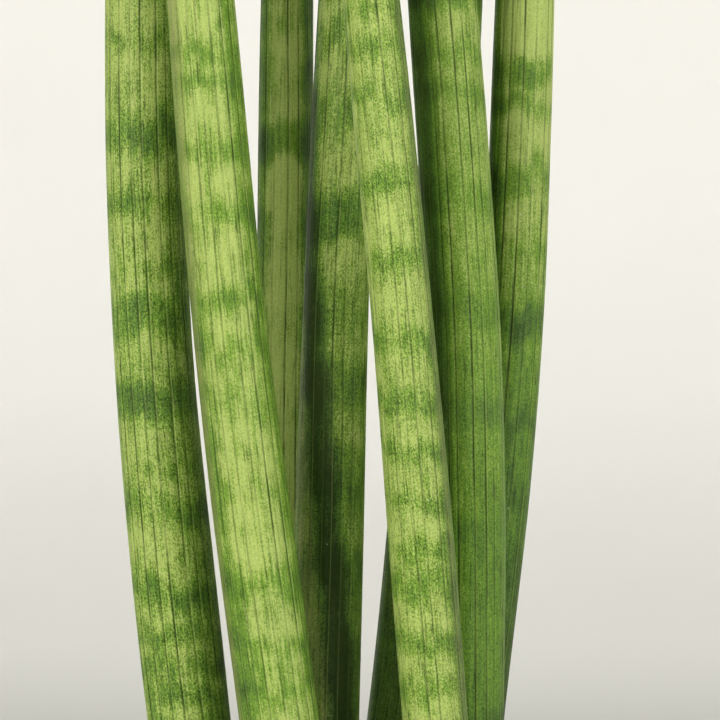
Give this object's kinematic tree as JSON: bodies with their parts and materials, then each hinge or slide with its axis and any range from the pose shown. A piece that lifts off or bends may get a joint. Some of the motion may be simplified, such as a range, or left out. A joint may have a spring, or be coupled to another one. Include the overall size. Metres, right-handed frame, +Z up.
{
  "type": "potted cylindrical snake plant",
  "caption": "Cylindrical snake plant: tall, round, ribbed leaves that taper to hard points, standing in potting mix in a plain round clay pot with a collar and drain holes.",
  "frame": {"origin": "middle of the pot's underside", "axes": "+Z up along the pot's axis, -Y towards the side the plant is seen from, +X to the right seen from there"},
  "size_m": [0.15, 0.15, 0.815],
  "materials": {
    "clay": "matte",
    "potting_mix": "matte",
    "leaf_skin": "satin"
  },
  "bodies": {
    "root": {"pot": "clay", "soil": "potting_mix", "leaf_1": "leaf_skin", "leaf_2": "leaf_skin", "leaf_3": "leaf_skin", "leaf_4": "leaf_skin", "leaf_5": "leaf_skin", "leaf_6": "leaf_skin", "leaf_7": "leaf_skin", "leaf_8": "leaf_skin"}
  },
  "joints": []
}
